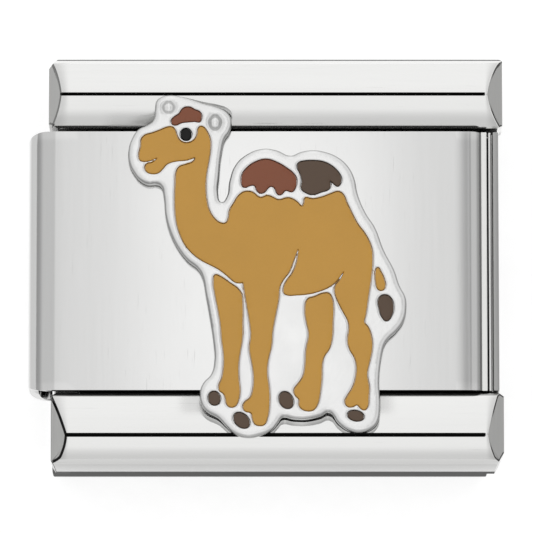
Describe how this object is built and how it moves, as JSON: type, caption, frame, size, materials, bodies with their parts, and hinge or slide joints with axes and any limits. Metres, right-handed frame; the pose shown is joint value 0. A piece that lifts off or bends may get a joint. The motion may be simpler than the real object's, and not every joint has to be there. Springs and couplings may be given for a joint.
{
  "type": "bracelet charm link",
  "caption": "Stainless steel link of a modular bracelet, face up, with an enamelled camel on the face and a sprung hinge that opens it.",
  "frame": {"origin": "under the middle of the link, on the surface that its back lies on", "axes": "+Z the way the enamelled face looks, +X along the bracelet towards the hooks, +Y across the bracelet towards the camel's head"},
  "size_m": [0.0104, 0.009, 0.0031],
  "materials": {
    "polished_steel": "mirror polished stainless steel",
    "spring_steel": "bright rolled spring steel",
    "solder": "dull solder",
    "emblem_silver": "bright silver-coloured plating",
    "enamel_ochre": "smooth soft enamel, ochre",
    "enamel_russet": "smooth soft enamel, reddish brown",
    "enamel_umber": "smooth soft enamel, dark brown",
    "enamel_black": "smooth soft enamel, black"
  },
  "bodies": {
    "back_half": {"back_sleeve": "polished_steel", "back_spring": "spring_steel", "staple_far": "spring_steel", "staple_near": "spring_steel", "hook_far": "spring_steel", "hook_near": "spring_steel"},
    "face_half": {"tray": "polished_steel", "rail_far": "polished_steel", "rail_near": "polished_steel", "face_plate": "polished_steel", "face_spring": "spring_steel", "emblem_pad": "solder", "emblem_plate": "emblem_silver", "enamel_coat": "enamel_ochre", "enamel_far_foreleg": "enamel_ochre", "enamel_far_hindleg": "enamel_ochre", "enamel_tail": "enamel_ochre", "enamel_tail_tuft": "enamel_umber", "enamel_forelock": "enamel_russet", "enamel_front_hump": "enamel_russet", "enamel_rear_hump": "enamel_umber", "enamel_hoof_far_fore": "enamel_umber", "enamel_hoof_near_fore": "enamel_umber", "enamel_hoof_far_hind": "enamel_umber", "enamel_hoof_near_hind": "enamel_umber", "enamel_eye": "enamel_black"}
  },
  "joints": [
    {"name": "face_hinge", "type": "hinge", "parent": "back_half", "child": "face_half", "pos_m": [-0.00472, 0, 0.00215], "axis": [0, -1, 0], "range_deg": [0, 40], "stiffness_Nm_per_rad": 0.01, "springref_deg": -5.73}
  ]
}
